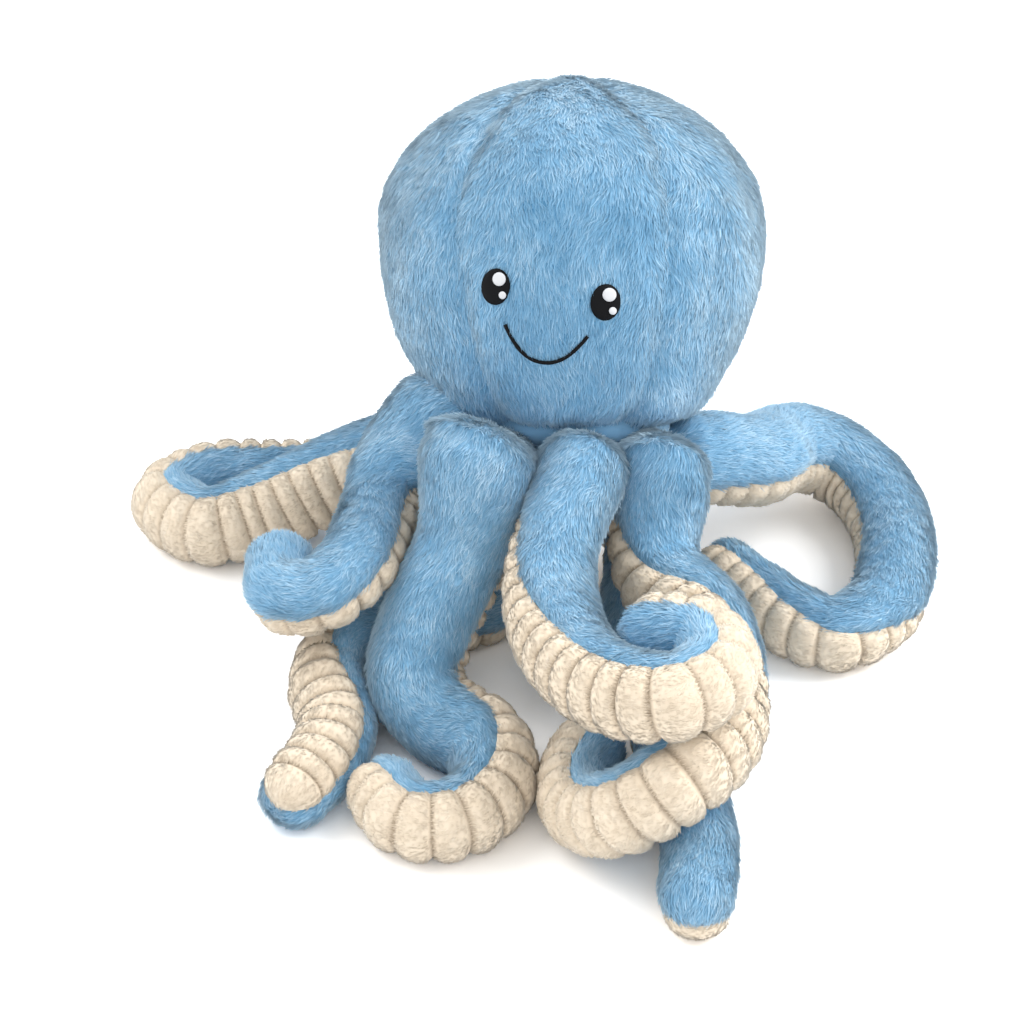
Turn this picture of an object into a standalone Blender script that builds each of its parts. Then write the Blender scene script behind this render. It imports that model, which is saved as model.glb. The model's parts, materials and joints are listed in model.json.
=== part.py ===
"""Plush octopus, sitting. Metres, +Z up, the face looks towards -Y.

The origin is on the surface that the toy sits on, below the middle of its whole outline.
The head leans back. Eight stuffed arms start on a ring under it and lie in curls on the
surface. Each arm has a blue plush top, a cream ribbed underside and a stuffing.
"""

import math

import bmesh
import bpy
import numpy as np
from mathutils import Vector
from mathutils.bvhtree import BVHTree

# Head
HEAD_RADIUS = 0.120
HEAD_DOME_HEIGHT = 0.100
HEAD_DROP = 0.120
HEAD_LEAN = math.radians(30.0)
HEAD_TURN = math.radians(-4.0)
NECK_RADIUS_OVER_RING = 0.0035
HEAD_SKIRT_POWER = 0.72
BASE_HEIGHT = 0.120

# Plush, stuffing and the gaps between pieces that touch
PLUSH_THICKNESS = 0.008
BASE_THICKNESS = 0.008
TOUCH_GAP = 0.0003
FILLING_GAP = 0.0006
SEAM_GAP = 0.0014

# Arms
ARM_COUNT = 8
ARM_WIDTH = 0.056
ARM_ROOT_WIDTH = 0.046
ARM_TIP_WIDTH = 0.042
ARM_SPACING_GAP = 0.005
RIB_PITCH = 0.0140
RIB_DEPTH = 0.004
FLOOR_FLAT_DEPTH = 0.0005
FIRST_ARM_ANGLE = math.radians(5.0)
BLUE_HALF_ANGLE = math.radians(100.0)

# Face
EYE_WIDTH = 0.0175
EYE_HEIGHT = 0.0215
EYE_PATCH_THICKNESS = 0.0012
EYE_ABOVE_BASE = 0.083
EYE_SPACING = 0.065
HIGHLIGHT_SIZE = 0.0080
SMALL_HIGHLIGHT_SIZE = 0.0045
HIGHLIGHT_THICKNESS = 0.0008
HIGHLIGHT_SHARES = (0.1, 0.22)
SMALL_HIGHLIGHT_SHARES = (0.28, -0.2)
MOUTH_WIDTH = 0.049
MOUTH_DEPTH = 0.019
MOUTH_ABOVE_BASE = 0.052
MOUTH_THREAD_WIDTH = 0.0024
FACE_OFFSET = -0.007
FACE_TILT = math.radians(-8.0)
MOUTH_OFFSET = -0.011

# Each arm: its place on the ring, counted from the first arm towards +X, and the points that
# its middle line passes after it leaves the base. A point holds the place across (+X), the
# place backwards (+Y) and the height of the arm's lower side, as shares of the arm's width,
# then the direction that the cream underside faces there.
ARM_ROUTE_SHARES = {
    "arm_1": (
        0,
        (
            (-0.21, -2.25, 1.76, (-0.4, 0.6, -0.7)),
            (-0.25, -3.02, 1.54, (-0.9, 0.2, -0.4)),
            (-0.06, -3.80, 1.52, (-0.9, -0.4, -0.1)),
            (0.36, -4.48, 1.63, (-0.5, -0.9, 0.1)),
            (0.90, -4.78, 1.79, (0.1, -1.0, 0.2)),
            (1.34, -4.42, 1.80, (0.9, -0.5, 0.2)),
            (1.26, -3.86, 1.77, (0.8, 0.6, 0.1)),
            (0.82, -3.66, 1.75, (0.1, 1.0, 0.1)),
        ),
    ),
    "arm_2": (
        1,
        (
            (0.82, -1.32, 1.50, (-0.4, 0.5, -0.8)),
            (0.94, -1.95, 1.16, (-0.9, 0.1, -0.3)),
            (1.34, -2.55, 0.99, (-0.9, -0.3, 0.3)),
            (1.46, -3.10, 0.90, (-0.4, -0.3, 0.9)),
            (1.49, -3.75, 0.88, (0.2, -0.3, 0.9)),
            (1.38, -4.40, 0.90, (0.6, -0.5, 0.6)),
            (1.02, -4.90, 0.88, (0.5, -0.9, 0.3)),
            (0.48, -4.98, 0.53, (0.0, -1.0, 0.2)),
            (0.08, -4.54, 0.13, (-0.7, -0.8, 0.2)),
            (0.00, -3.98, 0.0, (-1.0, 0.0, 0.2)),
            (0.14, -3.44, 0.0, (-0.9, 0.5, 0.2)),
        ),
    ),
    "arm_3": (
        2,
        (
            (2.10, 0.42, 1.05, (0.0, -0.2, -1.0)),
            (2.48, 1.22, 0.66, (0.0, -0.2, -1.0)),
            (3.00, 1.64, 0.32, (-0.2, -0.4, -0.9)),
            (3.50, 1.36, 0.10, (-0.5, -0.3, -0.8)),
            (3.76, 0.66, 0.0, (-0.6, 0.0, -0.8)),
            (3.74, -0.22, 0.0, (-0.5, 0.0, -0.9)),
            (3.48, -1.04, 0.0, (-0.1, -0.4, -0.9)),
            (2.96, -1.46, 0.0, (0.0, -0.8, -0.6)),
            (2.46, -1.22, 0.0, (-0.4, -0.8, -0.1)),
            (2.12, -0.78, 0.02, (-0.6, -0.7, 0.1)),
            (1.78, -0.36, 0.06, (-0.6, -0.7, 0.2)),
        ),
    ),
    "arm_4": (
        3,
        (
            (0.86, -0.36, 0.10, (0.0, 0.2, -1.0)),
            (0.78, -1.30, 0.0, (0.0, 0.0, -1.0)),
            (0.88, -2.30, 0.0, (0.0, 0.0, -1.0)),
            (1.01, -3.20, 0.0, (0.0, 0.0, -1.0)),
            (1.14, -4.10, 0.0, (0.0, 0.0, -1.0)),
            (1.22, -5.00, 0.0, (0.0, 0.0, -1.0)),
            (1.16, -5.70, 0.0, (0.0, 0.0, -1.0)),
        ),
    ),
    "arm_5": (
        4,
        (
            (-0.36, -0.32, 0.10, (0.0, 0.2, -1.0)),
            (-0.98, -0.92, 0.0, (0.0, 0.0, -1.0)),
            (-1.80, -1.30, 0.0, (-0.3, 0.3, -0.9)),
            (-2.47, -1.80, 0.0, (-0.9, 0.4, -0.1)),
            (-2.63, -2.46, 0.0, (-0.8, -0.1, 0.6)),
            (-2.52, -3.10, 0.0, (-0.4, -0.2, 0.9)),
            (-2.64, -3.65, 0.0, (-0.1, -0.4, 0.9)),
            (-2.88, -4.08, 0.0, (-0.1, -0.4, 0.9)),
        ),
    ),
    "arm_6": (
        5,
        (
            (-1.80, 0.95, 0.80, (-0.3, -0.8, -0.5)),
            (-2.75, 0.86, 0.46, (0.0, -1.0, -0.2)),
            (-3.60, 0.66, 0.12, (0.1, -1.0, 0.1)),
            (-4.25, 0.56, 0.0, (-0.2, -1.0, 0.1)),
            (-4.72, 1.08, 0.0, (-1.0, 0.0, 0.1)),
            (-4.25, 1.60, 0.0, (-0.3, 1.0, 0.0)),
            (-3.60, 1.68, 0.0, (0.2, 1.0, 0.0)),
            (-2.95, 1.74, 0.0, (0.2, 1.0, 0.0)),
        ),
    ),
    "arm_7": (
        6,
        (
            (-1.98, -0.66, 1.38, (0.9, 0.2, -0.4)),
            (-2.17, -1.30, 1.32, (0.9, 0.2, -0.4)),
            (-2.34, -1.95, 1.31, (0.5, 0.4, -0.8)),
            (-2.67, -2.25, 1.17, (0.1, 0.5, -0.9)),
            (-3.08, -2.08, 1.00, (-0.2, 0.4, -0.9)),
            (-3.18, -1.51, 0.95, (0.0, 0.3, -0.9)),
        ),
    ),
    "arm_8": (
        7,
        (
            (-1.24, -1.76, 1.22, (0.3, 0.7, -0.7)),
            (-1.56, -2.14, 0.66, (0.3, 0.6, -0.8)),
            (-1.69, -2.64, 0.26, (0.4, 0.4, -0.9)),
            (-1.38, -3.06, 0.02, (0.7, 0.5, -0.5)),
            (-0.94, -3.44, 0.0, (0.9, 0.3, 0.1)),
            (-0.86, -4.06, 0.0, (0.9, -0.4, 0.3)),
            (-1.22, -4.52, 0.0, (0.3, -0.9, 0.3)),
            (-1.70, -4.52, 0.0, (-0.5, -0.9, 0.3)),
            (-1.98, -4.12, 0.0, (-1.0, -0.2, 0.2)),
        ),
    ),
}

# How far each arm's root is raised to lie against the head, as a share of the arm's width
ARM_SEAT_SHARES = {
    "arm_1": 0.0244,
    "arm_2": 0.0150,
    "arm_3": 0.0175,
    "arm_4": 0.0100,
    "arm_5": 0.0131,
    "arm_6": 0.0244,
    "arm_7": 0.0356,
    "arm_8": 0.0206,
}

# How far from its root each arm has its full width, as a share of that width
ARM_SWELL_SHARES = {
    "arm_1": 2.6,
    "arm_2": 2.0,
    "arm_3": 1.3,
    "arm_4": 1.3,
    "arm_5": 1.3,
    "arm_6": 1.3,
    "arm_7": 1.6,
    "arm_8": 0.9,
}

# Each arm's own full width, as a share of the common one
ARM_FULLNESS_SHARES = {
    "arm_1": 1.0,
    "arm_2": 1.0,
    "arm_3": 1.0,
    "arm_4": 0.93,
    "arm_5": 1.0,
    "arm_6": 1.0,
    "arm_7": 0.86,
    "arm_8": 1.04,
}

# Shares of the arm's length, and of the way from its tip width to its full width
ARM_WIDTH_SHARES = ((0.0, 1.0), (0.3, 1.0), (0.55, 0.6), (0.8, 0.25), (1.0, 0.0))

# How finely the faceted pieces are cut
TOP_OUTER_SIDES = 4
TOP_INNER_SIDES = 3
UNDERSIDE_OUTER_SIDES = 3
UNDERSIDE_INNER_SIDES = 2
DOME_ANGLES = (10.0, 38.0, 64.0)
ROUTE_STEPS = 24

PALETTE = {
    "plush_blue": ((0.30, 0.50, 0.69, 1.0), 0.9),
    "ribbed_cream": ((0.70, 0.60, 0.46, 1.0), 0.9),
    "stuffing_white": ((0.92, 0.92, 0.90, 1.0), 1.0),
    "thread_black": ((0.03, 0.03, 0.035, 1.0), 0.45),
    "thread_white": ((0.93, 0.93, 0.93, 1.0), 0.5),
}


def remove_old_objects():
    for old in list(bpy.data.objects):
        bpy.data.objects.remove(old, do_unlink=True)


def material(name):
    made = bpy.data.materials.get(name)
    if made is None:
        color, roughness = PALETTE[name]
        made = bpy.data.materials.new(name)
        made.use_nodes = True
        shader = made.node_tree.nodes["Principled BSDF"]
        shader.inputs["Base Color"].default_value = color
        shader.inputs["Roughness"].default_value = roughness
        shader.inputs["Metallic"].default_value = 0.0
    return made


def add_object(name, points, faces, material_name, origin, parent=None):
    """A closed body from world points, cut at the surface that the toy rests on."""
    origin = Vector(origin)
    mesh = bpy.data.meshes.new(name)
    mesh.from_pydata([Vector(point) - origin for point in points], [], faces)
    mesh.validate()
    shaped = bmesh.new()
    shaped.from_mesh(mesh)
    if min(point[2] for point in points) < 0.0:
        cut_at_floor(shaped, -origin.z)
    bmesh.ops.recalc_face_normals(shaped, faces=shaped.faces)
    if shaped.calc_volume(signed=True) < 0:
        bmesh.ops.reverse_faces(shaped, faces=shaped.faces)
    shaped.to_mesh(mesh)
    shaped.free()
    mesh.shade_smooth()
    mesh.set_sharp_from_angle(angle=math.radians(50.0))
    mesh.materials.append(material(material_name))
    made = bpy.data.objects.new(name, mesh)
    bpy.context.collection.objects.link(made)
    if parent is None:
        made.location = origin
    else:
        made.parent = parent
        made.location = origin - parent.location
    return made


def cut_at_floor(shaped, height):
    """Cuts away what lies below a height, and closes the cut with flat faces."""
    everything = shaped.verts[:] + shaped.edges[:] + shaped.faces[:]
    cut = bmesh.ops.bisect_plane(
        shaped, geom=everything, plane_co=(0.0, 0.0, height), plane_no=(0.0, 0.0, 1.0), clear_inner=True
    )
    rim = [made for made in cut["geom_cut"] if isinstance(made, bmesh.types.BMEdge)]
    bmesh.ops.edgeloop_fill(shaped, edges=rim)


# Places and directions of the base and the head
def ring_radius():
    """The ring on which the arms' roots lie side by side."""
    return (ARM_ROOT_WIDTH + ARM_SPACING_GAP) / (2.0 * math.sin(math.pi / ARM_COUNT))


def neck_radius():
    return ring_radius() + NECK_RADIUS_OVER_RING


def base_center():
    return np.array((0.0, 0.0, BASE_HEIGHT))


def head_axis():
    return np.array((0.0, math.sin(HEAD_LEAN), math.cos(HEAD_LEAN)))


def ring_direction(angle):
    """Outwards in the base's plane. Angle 0 is the front, and it grows towards +X."""
    forward = np.array((0.0, -math.cos(HEAD_LEAN), math.sin(HEAD_LEAN)))
    return math.sin(angle) * np.array((1.0, 0.0, 0.0)) + math.cos(angle) * forward


def from_head(around, radius, along):
    """A world point from an angle round the head's axis, a radius and a height over the base."""
    return base_center() + head_axis() * along + ring_direction(around + HEAD_TURN) * radius


# Head
HEAD_RING_SHARES = (0.0, 0.1, 0.25, 0.5, 0.75)
HEAD_DOME_ANGLES = (0.0, 16.0, 32.0, 47.0, 60.0, 72.0, 81.0, 87.0)
FRONT_EDGE = math.radians(33.0)
SIDE_EDGE = math.radians(105.0)
HEAD_PANELS = (
    ("head_front_panel", -FRONT_EDGE, FRONT_EDGE, 6),
    ("head_right_panel", FRONT_EDGE, SIDE_EDGE, 4),
    ("head_back_right_panel", SIDE_EDGE, math.pi, 4),
    ("head_back_left_panel", math.pi, 2.0 * math.pi - SIDE_EDGE, 4),
    ("head_left_panel", 2.0 * math.pi - SIDE_EDGE, 2.0 * math.pi - FRONT_EDGE, 4),
)


def head_profile(inset, bottom):
    """Radius and height over the base of each ring, drawn in by an inset."""
    widest = HEAD_RADIUS - inset
    neck = neck_radius() - inset
    alongs = [HEAD_DROP * share for share in HEAD_RING_SHARES]
    radii = []
    for along in alongs:
        swelling = math.sin(0.5 * math.pi * along / HEAD_DROP) ** HEAD_SKIRT_POWER
        radii.append(neck + (widest - neck) * swelling)
    rings = [(float(np.interp(bottom, alongs, radii)), bottom)]
    rings += zip(radii[1:], alongs[1:])
    for degrees in HEAD_DOME_ANGLES:
        rise = math.radians(degrees)
        rings.append((widest * math.cos(rise), HEAD_DROP + (HEAD_DOME_HEIGHT - inset) * math.sin(rise)))
    return rings


def head_panel(name, first, last, steps):
    outer = head_profile(0.0, 0.0)
    inner = head_profile(PLUSH_THICKNESS, 0.0)
    rows = []
    for (outer_radius, outer_along), (inner_radius, inner_along) in zip(outer, inner):
        row = []
        for step in range(steps + 1):
            row.append(panel_point(first, last, step / steps, outer_radius, outer_along))
        for step in range(steps, -1, -1):
            row.append(panel_point(first, last, step / steps, inner_radius, inner_along))
        rows.append(row)
    points, faces = loft(rows)
    return add_object(name, points, faces, "plush_blue", base_center())


def panel_point(first, last, share, radius, along):
    """A point between two seams, half a gap inside each."""
    margin = 0.5 * TOUCH_GAP / radius
    low, high = first + margin, last - margin
    around = first + (last - first) * share
    return from_head(min(max(around, low), high), radius, along)


def head_angles():
    angles = []
    for _name, first, last, steps in HEAD_PANELS:
        angles += [first + (last - first) * step / steps for step in range(steps)]
    return angles


def head_filling():
    rows = []
    for radius, along in head_profile(PLUSH_THICKNESS + FILLING_GAP, BASE_THICKNESS + TOUCH_GAP):
        rows.append([from_head(angle, radius, along) for angle in head_angles()])
    points, faces = loft(rows)
    return add_object("head_filling", points, faces, "stuffing_white", base_center())


def base_panel():
    radius = neck_radius() - PLUSH_THICKNESS - TOUCH_GAP
    rows = []
    for along in (0.0, BASE_THICKNESS):
        rows.append([from_head(angle, radius, along) for angle in head_angles()])
    points, faces = loft(rows)
    return add_object("base_panel", points, faces, "plush_blue", base_center())


def loft(rows):
    """Joins closed rows of points with triangles, and closes both ends."""
    count = len(rows[0])
    points = [point for row in rows for point in row]
    faces = []
    for row in range(len(rows) - 1):
        for place in range(count):
            after = (place + 1) % count
            low, high = row * count, (row + 1) * count
            faces.append((low + place, high + place, high + after))
            faces.append((low + place, high + after, low + after))
    faces.append(tuple(range(count)))
    faces.append(tuple(reversed(range((len(rows) - 1) * count, len(rows) * count))))
    return points, faces


# Arms
def unit(vector):
    return vector / np.linalg.norm(vector)


def arm_radii(name, places):
    """The arm's outer radius at places along it, in metres from its root. It swells, then tapers."""
    shares, widths = zip(*ARM_WIDTH_SHARES)
    full = ARM_WIDTH * ARM_FULLNESS_SHARES[name]
    tapered = ARM_TIP_WIDTH + (full - ARM_TIP_WIDTH) * np.interp(places / places[-1], shares, widths)
    way = np.clip(places / (ARM_SWELL_SHARES[name] * ARM_WIDTH), 0.0, 1.0)
    swelling = way * way * (3.0 - 2.0 * way)
    return 0.5 * (ARM_ROOT_WIDTH + (tapered - ARM_ROOT_WIDTH) * swelling)


def arm_root(place):
    """The middle of an arm's round root, and the arm's direction on the ring."""
    angle = FIRST_ARM_ANGLE + 2.0 * math.pi * place / ARM_COUNT
    outwards = ring_direction(angle)
    below = 0.5 * ARM_ROOT_WIDTH + TOUCH_GAP
    return base_center() + outwards * ring_radius() - head_axis() * below, outwards


def smooth_route(points):
    """A smooth curve through points, by centripetal Catmull-Rom."""
    points = np.array(points)
    ends = np.vstack((2.0 * points[0] - points[1], points, 2.0 * points[-1] - points[-2]))
    curve = []
    for index in range(1, len(ends) - 2):
        knots = [0.0]
        corners = ends[index - 1 : index + 3]
        for before, after in zip(corners[:-1], corners[1:]):
            knots.append(knots[-1] + math.sqrt(np.linalg.norm(after - before)))
        for step in range(ROUTE_STEPS):
            at = knots[1] + (knots[2] - knots[1]) * step / ROUTE_STEPS
            curve.append(catmull_point(corners, knots, at))
    curve.append(points[-1])
    return np.array(curve)


def catmull_point(corners, knots, at):
    level = [corner for corner in corners]
    for span in (1, 2, 3):
        for index in range(4 - span):
            low, high = knots[index], knots[index + span]
            if span == 3:
                low, high = knots[1], knots[2]
            share = (at - low) / (high - low)
            level[index] = level[index] * (1.0 - share) + level[index + 1] * share
    return level[0]


def arm_rings(name):
    """Evenly spaced middle points, frames and radii along an arm, a rib apart."""
    place, table = ARM_ROUTE_SHARES[name]
    root, outwards = arm_root(place)
    floor_radius = 0.5 * ARM_TIP_WIDTH
    root = root + head_axis() * ARM_SEAT_SHARES[name] * ARM_WIDTH
    rows = [root]
    creams = [unit(-0.5 * outwards - np.array((0.0, 0.0, 1.0)))]
    for across, back, lift, cream in table:
        rows.append(np.array((across * ARM_WIDTH, back * ARM_WIDTH, lift * ARM_WIDTH + floor_radius)))
        creams.append(unit(np.array(cream)))
    curve = smooth_route(rows)
    steps = np.linalg.norm(np.diff(curve, axis=0), axis=1)
    run = np.concatenate(([0.0], np.cumsum(steps)))
    count = max(2, round(run[-1] / RIB_PITCH))
    places = np.linspace(0.0, run[-1], count + 1)
    middles = np.stack([np.interp(places, run, curve[:, axis]) for axis in range(3)], axis=1)
    radii = arm_radii(name, places)
    resting = resting_share(middles[:, 2] - floor_radius) * np.clip(places / ARM_WIDTH, 0.0, 1.0)
    ahead = np.gradient(middles, axis=0)
    frames = carried_frames(ahead)
    rolls = cream_rolls(frames, run[::ROUTE_STEPS], places, creams)
    rings = []
    for (along, up, side), middle, roll, radius, share in zip(frames, middles, rolls, radii, resting):
        turned = up * math.cos(roll) + side * math.sin(roll)
        across = np.cross(along, turned)
        rise = (lowest_corner(turned, across, radius) - floor_radius) * share - FLOOR_FLAT_DEPTH
        rings.append((middle + np.array((0.0, 0.0, rise)), along, turned, across, float(radius)))
    return rings


def lowest_corner(up, side, radius):
    """How far below its middle a ring's lowest corner is."""
    seam, other = BLUE_HALF_ANGLE, 2.0 * math.pi - BLUE_HALF_ANGLE
    angles = np.concatenate((
        np.linspace(-seam, seam, TOP_OUTER_SIDES + 1),
        np.linspace(seam, other, UNDERSIDE_OUTER_SIDES + 1),
    ))
    return -radius * float((up[2] * np.cos(angles) + side[2] * np.sin(angles)).min())


def carried_frames(ahead):
    """Frames along a route that turn only as far as the route bends."""
    along = unit(ahead[0])
    up = unit(np.cross(along, np.array((1.0, 0.0, 0.0))))
    frames = []
    for direction in ahead:
        along = unit(direction)
        up = unit(up - along * np.dot(up, along))
        frames.append((along, up, np.cross(along, up)))
    return frames


def cream_rolls(frames, knots, places, creams):
    """How far each ring is rolled so that the cream side faces where the route says."""
    rolls = []
    for knot, cream in zip(knots, creams):
        _along, up, side = frames[int(np.argmin(abs(places - knot)))]
        roll = math.atan2(-np.dot(cream, side), -np.dot(cream, up))
        if rolls:
            roll += 2.0 * math.pi * round((rolls[-1] - roll) / (2.0 * math.pi))
        rolls.append(roll)
    rolls = np.interp(places, knots, rolls)
    for _round in range(12):
        rolls[1:-1] = 0.25 * rolls[:-2] + 0.5 * rolls[1:-1] + 0.25 * rolls[2:]
    return rolls


def resting_share(lift):
    """1 where the arm lies on the surface, less where it is lifted off it."""
    return np.clip(1.0 - lift / ARM_WIDTH, 0.0, 1.0)


def ring_point(ring, around, inset, dome=None):
    """A point of the arm's skin, drawn in by an inset. dome turns an end ring into a dome."""
    middle, along, up, side, radius = ring
    reach = radius - inset
    outwards = up * math.cos(around) + side * math.sin(around)
    if dome is None:
        return middle + outwards * reach
    way, rise = dome
    return middle + outwards * reach * math.sin(rise) + along * way * reach * math.cos(rise)


def arm_stations(rings):
    """The rings with their domes: (ring, dome) from the root's pole to the tip's."""
    rises = [math.radians(degrees) for degrees in DOME_ANGLES]
    stations = [(rings[0], (-1.0, rise)) for rise in rises]
    stations += [(ring, None) for ring in rings]
    stations += [(rings[-1], (1.0, rise)) for rise in reversed(rises)]
    return stations


def arc(station, first, last, steps, inset, margin):
    """Points of a ring from one angle to another, with a margin in metres at both ends."""
    ring, dome = station
    reach = (ring[4] - inset) * (1.0 if dome is None else math.sin(dome[1]))
    inwards = margin / reach
    row = []
    for step in range(steps + 1):
        around = first + (last - first) * step / steps
        around = min(max(around, first + inwards), last - inwards)
        row.append(ring_point(ring, around, inset, dome))
    return row


def arm_top(name, stations, parent):
    rows = []
    for station in stations:
        outer = arc(station, -BLUE_HALF_ANGLE, BLUE_HALF_ANGLE, TOP_OUTER_SIDES, 0.0, 0.5 * SEAM_GAP)
        inner = arc(
            station, -BLUE_HALF_ANGLE, BLUE_HALF_ANGLE, TOP_INNER_SIDES, PLUSH_THICKNESS, 0.5 * SEAM_GAP
        )
        rows.append(inner + outer[::-1])
    points, faces = loft(rows)
    return add_object(name + "_top", points, faces, "plush_blue", parent.location, parent)


def arm_underside(name, stations, parent):
    """The ribbed strip: each rib is a crest between two valleys."""
    first, last = BLUE_HALF_ANGLE, 2.0 * math.pi - BLUE_HALF_ANGLE
    outer_count, inner_count = UNDERSIDE_OUTER_SIDES + 1, UNDERSIDE_INNER_SIDES + 1
    valleys, crests, inners = [], [], []
    for station in stations:
        full = arc(station, first, last, UNDERSIDE_OUTER_SIDES, 0.0, 0.5 * SEAM_GAP)
        valley = arc(station, first, last, UNDERSIDE_OUTER_SIDES, RIB_DEPTH, 0.5 * SEAM_GAP)
        crests.append(full)
        valleys.append(valley if station[1] is None else full)
        inners.append(arc(station, first, last, UNDERSIDE_INNER_SIDES, PLUSH_THICKNESS, 0.5 * SEAM_GAP))
    points, faces = [], []
    for valley, inner in zip(valleys, inners):
        points += valley + inner
    stride = outer_count + inner_count
    for index in range(len(stations) - 1):
        low, high = index * stride, (index + 1) * stride
        ribbed = stations[index][1] is None and stations[index + 1][1] is None
        if ribbed:
            crest = len(points)
            for one, two in zip(crests[index], crests[index + 1]):
                points.append(0.5 * (one + two))
            for place in range(outer_count - 1):
                faces.append((low + place, crest + place, crest + place + 1, low + place + 1))
                faces.append((crest + place, high + place, high + place + 1, crest + place + 1))
        else:
            for place in range(outer_count - 1):
                faces.append((low + place, high + place, high + place + 1, low + place + 1))
        for place in range(outer_count, stride - 1):
            faces.append((low + place, low + place + 1, high + place + 1))
            faces.append((low + place, high + place + 1, high + place))
        for outer_edge, inner_edge in ((0, outer_count), (outer_count - 1, stride - 1)):
            if ribbed:
                top = crest + outer_edge
                faces.append((low + inner_edge, low + outer_edge, top))
                faces.append((low + inner_edge, top, high + inner_edge))
                faces.append((high + inner_edge, top, high + outer_edge))
            else:
                faces.append((low + inner_edge, low + outer_edge, high + outer_edge, high + inner_edge))
    for index in (0, len(stations) - 1):
        low = index * stride
        loop = [low + place for place in range(outer_count)]
        loop += [low + place for place in range(stride - 1, outer_count - 1, -1)]
        faces.append(tuple(loop))
    return add_object(name + "_underside", points, faces, "ribbed_cream", parent.location, parent)


def arm_filling(name, stations, parent):
    inset = PLUSH_THICKNESS + FILLING_GAP
    turns = [-1.0 + 2.0 * step / TOP_INNER_SIDES for step in range(TOP_INNER_SIDES + 1)]
    angles = [turn * BLUE_HALF_ANGLE for turn in turns] + [math.pi]
    rows = [[ring_point(ring, around, inset, dome) for around in angles] for ring, dome in stations]
    points, faces = loft(rows)
    return add_object(name + "_filling", points, faces, "stuffing_white", parent.location, parent)


def arm(name):
    root, _outwards = arm_root(ARM_ROUTE_SHARES[name][0])
    pivot = bpy.data.objects.new(name + "_pivot", None)
    pivot.location = Vector(root)
    bpy.context.collection.objects.link(pivot)
    stations = arm_stations(arm_rings(name))
    arm_top(name, stations, pivot)
    arm_underside(name, stations, pivot)
    arm_filling(name, stations, pivot)


# Face
def surface_tree(*objects):
    """The outer skin of finished objects in world space, for pieces sewn onto it."""
    corners, faces = [], []
    for made in objects:
        start = len(corners)
        corners += [made.location + vertex.co for vertex in made.data.vertices]
        faces += [tuple(start + index for index in face.vertices) for face in made.data.polygons]
    return BVHTree.FromPolygons(corners, faces)


def face_frame(around, along):
    """A point in front of the face and the directions right, up and inwards there."""
    outwards = ring_direction(around + HEAD_TURN)
    middle = Vector(base_center() + head_axis() * along + outwards * 2.0 * HEAD_RADIUS)
    inwards = -Vector(outwards)
    up = Vector(head_axis())
    return middle, up.cross(-inwards), up, inwards


def sewn_point(tree, frame, across, rise, over):
    """Where a stitch at (across, rise) meets the skin, lifted by a height over it."""
    middle, right, up, inwards = frame
    across, rise = (
        across * math.cos(FACE_TILT) - rise * math.sin(FACE_TILT),
        across * math.sin(FACE_TILT) + rise * math.cos(FACE_TILT),
    )
    hit, normal, _index, _distance = tree.ray_cast(middle + right * across + up * rise, inwards)
    return np.array(hit - inwards * over)


def sewn_patch(name, tree, frame, across, rise, width, height, thickness, material_name, parts=(3, 16)):
    """An oval patch that follows the skin under it."""
    rings, sides = parts
    top, bottom = [], []
    for over, row in ((TOUCH_GAP + thickness, top), (TOUCH_GAP, bottom)):
        row.append(sewn_point(tree, frame, across, rise, over))
        for ring in range(1, rings + 1):
            for side in range(sides):
                turn = 2.0 * math.pi * side / sides
                share = ring / rings
                out = across + 0.5 * width * share * math.cos(turn)
                up = rise + 0.5 * height * share * math.sin(turn)
                row.append(sewn_point(tree, frame, out, up, over))
    points = top + bottom
    layer = len(top)
    faces = []
    for start, flip in ((0, False), (layer, True)):
        for side in range(sides):
            after = (side + 1) % sides
            near = (start, start + 1 + side, start + 1 + after)
            faces.append(near[::-1] if flip else near)
            for ring in range(rings - 1):
                low, high = start + 1 + ring * sides, start + 1 + (ring + 1) * sides
                quad = (low + side, high + side, high + after, low + after)
                faces.append(quad[::-1] if flip else quad)
    edge = 1 + (rings - 1) * sides
    for side in range(sides):
        after = (side + 1) % sides
        faces.append((edge + side, layer + edge + side, layer + edge + after, edge + after))
    return add_object(name, points, faces, material_name, points[0])


def mouth(tree):
    frame = face_frame(0.0, MOUTH_ABOVE_BASE)
    radius = 0.5 * MOUTH_THREAD_WIDTH
    steps, sides = 20, 6
    middles = []
    for step in range(steps + 1):
        share = -1.0 + 2.0 * step / steps
        across = MOUTH_OFFSET + 0.5 * MOUTH_WIDTH * share
        rise = MOUTH_DEPTH * (abs(share) ** 2.2 - 0.5)
        middles.append(sewn_point(tree, frame, across, rise, TOUCH_GAP + radius * 1.15))
    middles = np.array(middles)
    ahead = np.gradient(middles, axis=0)
    inwards = np.array(frame[3])
    rows = []
    for middle, along in zip(middles, ahead):
        along = unit(along)
        out = -unit(inwards - along * np.dot(inwards, along))
        side = np.cross(along, out)
        turns = [2.0 * math.pi * index / sides for index in range(sides)]
        rows.append([middle + radius * (math.cos(turn) * out + math.sin(turn) * side) for turn in turns])
    points, faces = loft(rows)
    return add_object("mouth_stitching", points, faces, "thread_black", points[0])


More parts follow.
